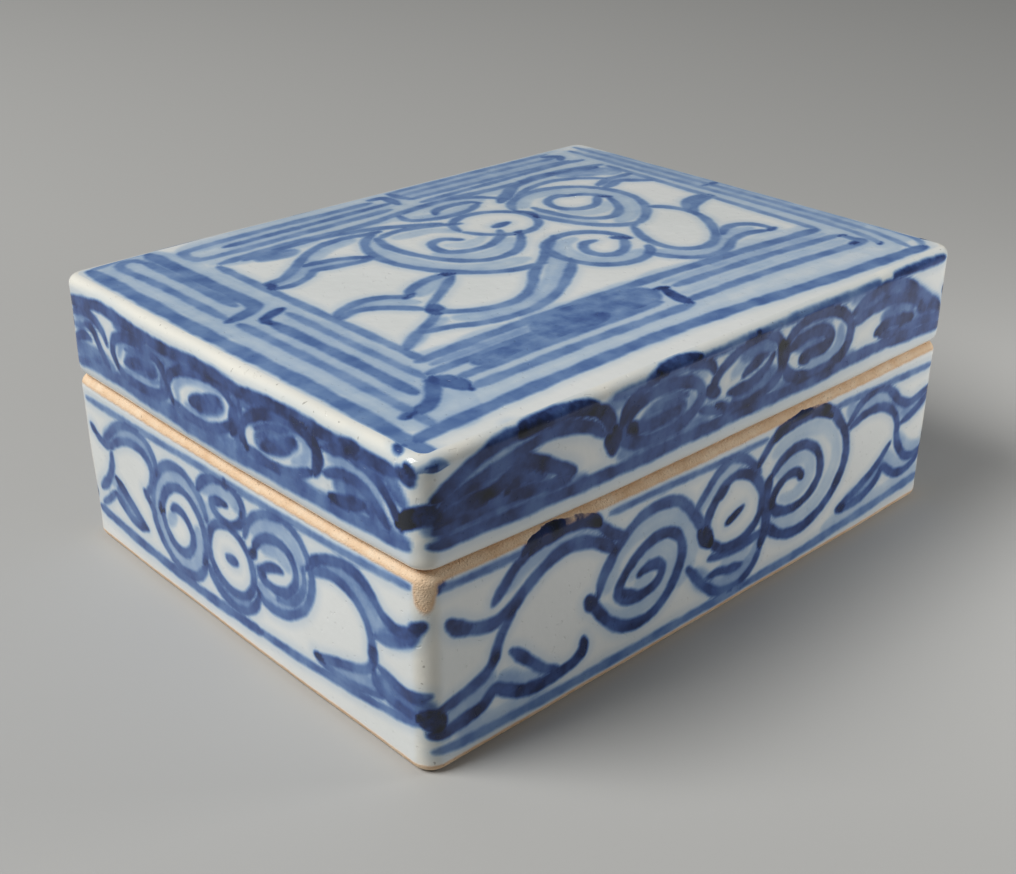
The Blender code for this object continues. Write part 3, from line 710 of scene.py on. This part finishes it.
TOP_LINES = [
    (1.85, 0.52, -39, 29.6, -39.2, 20, -39.4, 5, -39.2, -12, -39.6, -28, -40, -31.4),
    (1.76, 0.54, -40.2, -28, -32, -27.4, -15, -26.7, -5, -26.6, 5, -27.1, 20, -28.4, 38.4, -29.4),
    (1.06, 0.42, -38.6, 29.8, -35, 30.7, -31, 31), (1.06, 0.45, -30.6, -31, -30.6, -31.6),
    (0.95, 0.41, 38.4, -29.3, 40.4, -26, 40.9, -16, 41, 5, 40.8, 24),
    (0.88, 0.38, -20, 31.2, 10, 31.3, 38, 31),
    (1.14, 0.48, -35.7, 6.6, -35.7, 20, -36, 27.4, -35.4, 29.2, -33.8, 29.4, -33, 27.6),
    (1.32, 0.48, -33, 9.2, -32.9, 18, -33, 27.8),
    (1.76, 0.54, -31.3, 30.2, -31.4, 18, -31.3, 9.4, -31.9, 7.4, -33.8, 6.6, -36, 6),
    (1.32, 0.72, -36.2, 6, -34.6, 6.6), (1.23, 0.46, -35.5, 4.6, -35.5, -10, -35.7, -22, -36, -27),
    (1.5, 0.55, -32.9, 2.8, -32.8, -10, -33, -20.6), (1.06, 0.45, -30.1, 3.8, -30.2, -8, -30.1, -18.6),
    (1.32, 0.7, -29.8, 5.3, -31.6, 4.7, -33, 3.8, -33, 2),
    (1.67, 0.6, -29.6, -19, -32, -22, -34, -23.4, -37, -23.8), (1.41, 0.7, -37, -24, -35.4, -23.6),
    (1.23, 0.46, -27.7, 20.7, -27.7, 5, -27.5, -15.3),
    (1.5, 0.5, -28.2, -15.2, -15, -14.9, 5, -15.2, 20, -16.2, 33.8, -17.1),
    (1.06, 0.41, 35.2, 19.4, 34.9, 5, 34, -16.9),
    (1.32, 0.46, -27, 21.4, -18, 21.9, -8, 21.3, 0, 22, 8, 22.6, 18, 21.8, 27, 22, 35, 20.6),
    (1.23, 0.5, -29.4, -18.1, -15, -17.8, 3.6, -18), (1.23, 0.5, -28.2, -20.7, -12, -20.5, 1.2, -20.6),
    (1.41, 0.48, -28.4, -23.2, -12, -22.9, -4, -23, 3.2, -23.2), (1.5, 0.74, 4.4, -18, 3.6, -20.6, 3.3, -23),
    (1.23, 0.8, 3.6, -17.7, 5, -18.1), (1.32, 0.47, 6, -18.4, 20, -19, 34, -20),
    (1.32, 0.48, 4, -22.2, 20, -22.6, 33.4, -23.5, 34.2, -22, 34.2, -20.4),
    (1.32, 0.74, 33.6, -20.2, 34.6, -20.6), (1.5, 0.7, 32, -23.3, 33.8, -23.2),
    (2.8, 0.6, -30.2, -19.4, -29, -20.6, -28.6, -22.6), (1.23, 0.82, -28.6, -23.6, -28, -22.4),
    (1.23, 0.44, 0, 28.2, -14, 28.4, -26.5, 28, -28.4, 26.8, -28.3, 25.1, -26.6, 24, -13, 24, 0, 24.1),
    (1.14, 0.52, -23.4, 26.1, -12, 26.2, 2, 26.3), (1.41, 0.52, 0.6, 29.3, 2.6, 28.6, 2.2, 25.2),
    (1.23, 0.5, 4.2, 29.8, 4.4, 27.6, 5, 25.8), (0.97, 0.42, 4, 29.9, 20, 29.9, 33, 29.6),
    (0.97, 0.42, 5, 28, 20, 28, 33, 27.4), (1.06, 0.44, 4.6, 26, 20, 25.6, 33, 25),
    (1.41, 0.5, 31.6, 29, 33.4, 27.4, 32.4, 26), (1.06, 0.48, 5, 23.9, 20, 24.4, 30, 24.5, 34.8, 24),
    (0.95, 0.4, 36.9, 28.6, 37, 10, 37.1, -8, 36.6, -20, 35.4, -25.2),
    (0.95, 0.4, 38.9, 29.6, 39, 6, 39, -12, 38.4, -22, 36.9, -28.2), (1.06, 0.69, 35.8, -25, 34.9, -25.4),
    (0.95, 0.55, 37.8, 4.4, 40.8, 4.2),
    (1.23, 0.48, -1.2, 9, -2.8, 10.6, -4.8, 10.3, -5.6, 8.6, -5.2, 6.7, -3, 5.5, 0, 5.3, 3, 6.8, 4.6, 8.6),
    (1.23, 0.5, -8, 17.6, -10.4, 16, -12.2, 12.8, -12.6, 8.6, -11.2, 4.4, -8.2, 0.2, -4.4, -2.6, 0.4, -3.6),
    (1.23, 0.5, -8.6, 16.2, -9.4, 12.6, -8.8, 8.6, -6.8, 4.4, -3.6, 1.7, 0.4, 1.6, 3.4, 3.6, 5.6, 6),
    (1.14, 0.48, -8.4, 16, -5, 16.6, -1, 15.7, 2.8, 13.8),
    (1.14, 0.48, 0.6, 11.4, 1.6, 14, 4.2, 15.6, 7.4, 15.4, 10.2, 13.6, 11.4, 11, 10.6, 8, 8, 6.2, 5, 6.4,
     2.2, 8.6, 0.8, 11),
    (1.5, 0.62, 11.2, 13, 11.8, 11, 11.2, 9), (1.41, 0.68, 4.8, 6.2, 6.4, 6.6), (1.5, 0.6, 5, 10, 7.4, 10.2),
    (1.14, 0.48, -1, 21.4, -1.2, 19.2, 0.8, 17.6, 4.2, 16.9, 7.6, 17.3, 10.2, 18.8),
    (1.14, 0.48, 0, 21.6, 4, 22.6, 8.4, 22.4, 11.6, 20.8, 13.6, 18.4, 14.2, 17.2),
    (1.23, 0.52, 2.8, 18.6, 4, 19.8, 6.6, 20.3, 9.4, 19.8, 10.4, 18.6),
    (1.76, 0.5, 12.4, 17, 15.6, 19, 19, 21.2, 24, 22, 29, 21.4, 33.4, 20.2),
    (1.14, 0.46, 16, 17.6, 19.6, 19, 23.6, 19.4, 27.4, 18, 30.4, 15.4),
    (1.23, 0.48, 21.6, 12.6, 19.6, 13.9, 17.4, 13.3, 16.3, 11.4, 16.6, 9.3, 18.4, 8, 20.8, 8, 22.6, 9.4,
     23.8, 10.6),
    (1.23, 0.48, 21.4, 13.2, 23.4, 11.6, 24.7, 9.4), (1.32, 0.64, 23.6, 10.4, 24.8, 9.2),
    (1.23, 0.48, 24.3, 9, 23.2, 6.6, 21.4, 4.4, 19, 3.2, 16.6, 4, 14.8, 6.4, 14, 9.6, 13.9, 12.4),
    (1.23, 0.46, 11.4, 13.4, 13, 15.6, 15.8, 17.1, 19.4, 17.5, 23, 16.4, 25.8, 13.8, 27.2, 10.4, 27, 6.8,
     25.2, 3.4, 22.4, 0.8, 19.4, -0.6, 16.4, 0.6, 13.8, 3.6, 12.4, 7.4, 11.6, 11),
    (1.32, 0.48, 10.4, -2, 8.6, -1.9, 7.1, -3.4, 6.9, -5.4, 8.4, -6.8, 10.4, -6.6, 12.2, -5.2, 13.6, -3.4),
    (1.32, 0.5, 14.4, -4, 13.8, -1.4, 12.2, 0.8, 9.6, 2, 6.8, 1.8, 4.4, 0.4, 3.2, -2, 3.2, -5, 4.4, -7.8,
     6.8, -9.6, 9.8, -10, 12.4, -9, 13.8, -7.4),
    (1.76, 0.62, 12.8, -2.6, 14.2, -3.9),
    (1.23, 0.48, 17.6, -1.6, 16, -4.2, 15, -7.2, 15.3, -10, 17, -11.8, 19.6, -12.1, 22.6, -10.4, 25.4, -7.4,
     27.3, -4.2, 27.8, -1.2, 26.8, 1.6, 25, 3.2),
    (1.23, 0.46, 17.6, -1.4, 19.4, -0.4),
    (1.23, 0.5, 11.8, -9, 12.8, -11.6, 14.6, -13.8, 17.2, -14.8, 20, -14.4, 23, -12.8, 26, -12.4, 29, -13.2),
    (1.23, 0.48, 23.6, -10.6, 25.6, -9.4, 27.8, -9.4, 29.6, -10.8, 30.2, -13.4),
    (1.32, 0.6, 29, -13.4, 30.6, -13.2), (1.5, 0.48, 27.6, -1.8, 29, -0.4, 30.6, 1, 33, 1.5, 35.2, 1.2),
    (1.32, 0.48, 27.2, -3.4, 29, -1.4, 31, -0.2, 33.6, 0.4, 35.2, 0.6),
    (1.32, 0.48, 27, 12.4, 28.8, 12.8, 31, 13.4, 33, 12, 35, 10.4),
    (1.23, 0.44, 27.2, 13.8, 29, 14.4, 30.4, 14.9, 32.8, 14.8, 35.2, 14.8),
    (1.14, 0.5, -27.2, 10.6, -25, 10.2, -22.4, 11, -20.4, 12.2, -18, 11.6, -15, 11, -12.8, 11),
    (1.23, 0.5, -27, 12.6, -24.6, 12.6, -21.4, 14.6, -18.4, 17, -15, 18.6, -11.6, 18.9, -8.6, 18.2, -6.6, 18),
    (1.23, 0.54, -20.6, 14.3, -18.4, 14, -16, 13.2, -13.4, 11.8),
    (1.32, 0.5, -24.4, 20.6, -20, 21, -14, 21.2, -9, 20, -5, 18.6, -1, 16.4, 1, 15.4),
    (1.58, 0.64, -14, 11.8, -12.6, 11.4), (1.67, 0.66, -27.6, 10.4, -26.4, 12.6),
    (1.23, 0.5, -27.6, -1, -25.6, 0.4, -22.6, 1.1, -20, 0.4, -17.8, -1, -16.4, 0.2, -13.4, 1.3, -10, 1.4),
    (1.5, 0.68, -11, 1.6, -9.4, 1), (1.41, 0.66, -18.4, -1.3, -16.8, -0.6),
    (1.23, 0.5, -27.6, -1.4, -25, -0.6, -22.6, -1.4, -20.4, -3.2, -18.6, -5.4),
    (1.23, 0.5, -18.6, -5.6, -16.6, -8, -13, -9.7, -9.6, -9.8, -6, -8, -2.6, -5, 1, -2.6, 4.6, 0.2, 8, 2.6),
    (2.4, 0.62, -18.6, -6.8, -17.6, -5), (1.14, 0.5, -10.2, 0.4, -13.6, -2, -16.6, -4, -18.4, -5.2),
    (1.23, 0.5, -27.4, -12.2, -24, -10, -20.6, -8.2, -18.6, -6.8),
    (1.23, 0.5, -23.4, -9.8, -20, -10.6, -17, -12, -13.6, -12.8, -10, -12.8, -5.6, -11.4, -1, -8.6, 2.6, -5.8,
     3.6, -4.4),
]
TOP_WASHES = [
    (9.6, 0.14, -33.6, 29, -33.6, -26), (13, 0.09, -28, -20.4, 34, -20.8), (11, 0.09, -26, 25.4, 34, 25.6),
    (8, 0.11, 38.6, 26, 38.5, -24), (4.4, 0.09, -38, -24.8, 36, -26.2), (1.9, 0.09, -29.2, 26, -29, -13),
    (2.6, 0.27, -32.2, 28.6, -32.2, 10.4), (1.4, 0.14, -34.6, 27.4, -34.6, 7.6),
    (1.6, 0.16, -34.3, 2.6, -34.3, -20.6), (1.5, 0.16, -31.4, 2.4, -31.4, -18.4),
    (5.6, 0.45, -13.6, -17.6, -6, -17.6, 1.6, -17.8), (3, 0.45, -24, -19.3, -14, -19, -6, -19),
    (1.4, 0.31, -27.6, -16.6, -14, -16.4), (1.2, 0.22, 5.6, -17, 20, -17.6, 33.2, -18.6),
    (1.5, 0.16, 5, -20.4, 20, -20.8, 33, -21.8), (1.4, 0.16, -26.6, 27.2, -14, 27.3, 0, 27.2),
    (1.3, 0.16, -23.6, 25, -12, 25, 1.6, 25.1), (1.5, 0.2, 4.6, 28.9, 20, 28.9, 33, 28.6),
    (1.5, 0.2, 5.2, 27, 20, 26.8, 32.6, 26.2), (1.5, 0.2, 37.9, 26, 38, 0, 37.8, -20),
    (1.5, 0.2, 39.9, 26, 40, 0, 39.7, -20),
    (2.2, 0.14, -9.6, 16.2, -11, 12.4, -10.8, 7.6, -8.8, 3, -5, -0.2, 0, -1),
    (1.8, 0.14, -6.8, 14.6, -2, 14, 0.4, 12), (1.6, 0.11, -3.8, 8.6, -1.8, 7.2, 1.4, 8),
    (1.8, 0.13, -6.8, 7.2, -4, 3.8, 0, 3.4, 3.4, 5.4), (1.8, 0.14, 0.2, 19.6, 2.4, 18.2, 6, 18.2, 8.6, 18.8),
    (1.8, 0.14, 3.4, 21.4, 8, 21.4, 11.4, 19.4),
    (2.2, 0.14, 13, 13.6, 15.6, 15.6, 19.4, 15.9, 23.2, 14, 25.6, 10.2, 24.8, 6, 22, 2.8, 18, 1.2),
    (2, 0.14, 12.6, 11, 13, 6.6, 15.4, 3), (1.6, 0.11, 22.6, 7.8, 20.4, 6, 17.4, 6.2, 15.6, 9),
    (1.8, 0.15, 9, 0.2, 6.4, -0.4, 5, -3, 5.4, -6.6, 8.2, -8.4, 12, -8),
    (1.8, 0.18, 13.4, -9.6, 15.2, -12.8, 18, -13.5, 21.6, -12, 24.6, -10.8, 28, -11.4),
    (1.8, 0.25, 28.2, -1.8, 30.6, 0.4, 34.6, 1), (1.8, 0.18, 28, 13.4, 31, 14.2, 34.4, 12.6),
    (3.4, 0.31, 27, 20.4, 31.4, 18.6, 34.4, 17), (3, 0.38, -22.8, 19.6, -20, 19.4, -18.4, 19.4),
    (4, 0.09, -26, 21.2, -14, 22.6, -2, 22),
    (1.8, 0.22, -27, 11.6, -23.6, 12.2, -21, 13.4, -18, 12.8, -15, 11.8),
    (1.8, 0.16, -19, 15.2, -15, 17, -11, 17.6), (1.8, 0.18, -27, -1, -23, 0, -20, -1.2, -18.2, -3),
    (1.8, 0.18, -16.6, -1.6, -13.6, -0.2, -11, 0.8), (1.8, 0.18, -26.6, -11.8, -22.4, -9.4, -19, -8.6),
    (2.2, 0.18, -18, -9.2, -14, -11.2, -10, -11.4, -5, -9.4, 0, -5.8, 3, -3, 6, -0.4),
]
# The top is the whole plan grid inside the rounded edge, a little crowned.
cover_rings = section_rings(cover_section, phase=2.4, warp_from=RIM_HEIGHT + RIM_WARP, warp_to=RIM_HEIGHT)
top_x, top_y = in_plan(plan_u, plan_v, corner_u, corner_v, TOP_EDGE_ROUND, PLAN_CORNER - TOP_EDGE_ROUND)
crown = (1 - (top_x / HALF_LENGTH) ** 4) * (1 - (top_y / HALF_WIDTH) ** 4)
top_z = TOP_HEIGHT - TOP_EDGE_DROP + crown * (TOP_CROWN + TOP_SWELL * hand_swell(top_x, top_y, 0, 1.3))
cover_rings[-1, :, 2] = top_z.ravel()[edge_cells]
top_numbers = np.full(ROWS * COLUMNS, -1)
top_numbers[edge_cells] = ring_points - STATIONS + np.arange(STATIONS)
inner = np.flatnonzero(top_numbers < 0)
top_numbers[inner] = ring_points + np.arange(len(inner))
top_numbers = top_numbers.reshape(ROWS, COLUMNS)
top_points = np.column_stack([grid.ravel()[inner] for grid in (top_x, top_y, top_z)])

# The top's painting runs down over the rounded edge and meets that of the sides.
cover_paint = Paint(ring_points + len(inner), seed=11)
cover_paint.draw_sides(
    cover_heights, LONG_COVER_LINES, LONG_COVER_WASHES, SHORT_COVER_LINES, SHORT_COVER_WASHES)
edge_where = [
    np.column_stack([edge_x - inset * edge_cu, edge_y - inset * edge_cv])
    for inset in TOP_EDGE_ROUND - round_edge
]
top_where = np.vstack(edge_where + [top_points[:, :2]])
cover_paint.draw(np.arange(edge_first * STATIONS, ring_points + len(inner)), top_where, TOP_LINES, TOP_WASHES)

cover_numbers = np.arange(ring_points).reshape(-1, STATIONS)
top_quads = np.column_stack([
    top_numbers[:-1, :-1].ravel(), top_numbers[:-1, 1:].ravel(),
    top_numbers[1:, 1:].ravel(), top_numbers[1:, :-1].ravel(),
])
porcelain_cover = make_piece(
    "porcelain_cover",
    np.vstack([cover_rings.reshape(-1, 3), top_points]),
    np.vstack([add_quads(cover_numbers), top_quads]).tolist() + [cover_numbers[0][::-1].tolist()],
    cover_paint,
    np.concatenate([cover_bare.ravel(), np.full(len(inner), GLAZED)]),
    np.concatenate([cover_thin.ravel(), np.zeros(len(inner))]),
    fired_porcelain("cover_glaze_and_biscuit", offset=41.0),
)
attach(porcelain_cover, "cover")
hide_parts("cover")

# -------------------- the stage
# A plain pale tabletop that runs out of sight, one broad soft lamp high on the left, a weaker one by
# the far end of the long side, and dim light from all round. The camera stands at the near corner.

FLOOR_REACH = 3.0
floor_corners = [(FLOOR_REACH * x, FLOOR_REACH * y, 0) for x, y in ((-1, -1), (1, -1), (1, 1), (-1, 1))]
floor_mesh = bpy.data.meshes.new("tabletop")
floor_mesh.from_pydata(floor_corners, [], [(0, 1, 2, 3)])
tabletop = bpy.data.objects.new("tabletop", floor_mesh)
bpy.context.scene.collection.objects.link(tabletop)
table_paint = bpy.data.materials.new("pale_matt_table")
table_paint.use_nodes = True
table_shader = table_paint.node_tree.nodes["Principled BSDF"]
table_shader.inputs["Base Color"].default_value = (0.42, 0.42, 0.41, 1)
table_shader.inputs["Roughness"].default_value = 0.9
floor_mesh.materials.append(table_paint)

LAMP_COLOUR = (1.0, 0.99, 0.97)
LAMP_TARGET = Vector((0, 0, 0.015))


def add_lamp(name, place, width, watts):
    """A square soft lamp that faces the box and that the camera doesn't see."""
    light = bpy.data.lights.new(name, "AREA")
    light.size = width
    light.energy = watts
    light.color = LAMP_COLOUR
    lamp = bpy.data.objects.new(name, light)
    lamp.location = place
    lamp.rotation_euler = (LAMP_TARGET - Vector(place)).to_track_quat("-Z", "Y").to_euler()
    lamp.visible_camera = False
    bpy.context.scene.collection.objects.link(lamp)
    return lamp


add_lamp("window_light", (-0.62, 0.30, 0.78), 0.55, 12.2)
# The weaker lamp only brightens the long side: it makes no shine on the glaze.
end_lamp = add_lamp("end_light", (0.10, -0.11, 0.05), 0.05, 0.084)
end_lamp.visible_glossy = False
world = bpy.data.worlds.new("room")
world.use_nodes = True
background = world.node_tree.nodes["Background"]
background.inputs["Color"].default_value = (0.80, 0.82, 0.85, 1)
background.inputs["Strength"].default_value = 0.10
bpy.context.scene.world = world
bpy.context.scene.view_settings.view_transform = "Standard"

CAMERA_PLACE = (-0.10854, -0.11392, 0.08945)
CAMERA_AZIMUTH, CAMERA_DOWN, CAMERA_ROLL = math.radians(46.90), math.radians(26.66), math.radians(0.24)
camera_data = bpy.data.cameras.new("camera")
camera_data.lens = 50.55
camera_data.sensor_width = 36.0
camera_data.clip_start = 0.01
camera = bpy.data.objects.new("camera", camera_data)
camera.matrix_world = (
    Matrix.Translation(CAMERA_PLACE)
    @ Matrix.Rotation(CAMERA_AZIMUTH - math.pi / 2, 4, "Z")
    @ Matrix.Rotation(math.pi / 2 - CAMERA_DOWN, 4, "X")
    @ Matrix.Rotation(CAMERA_ROLL, 4, "Z")
)
bpy.context.scene.collection.objects.link(camera)
bpy.context.scene.camera = camera
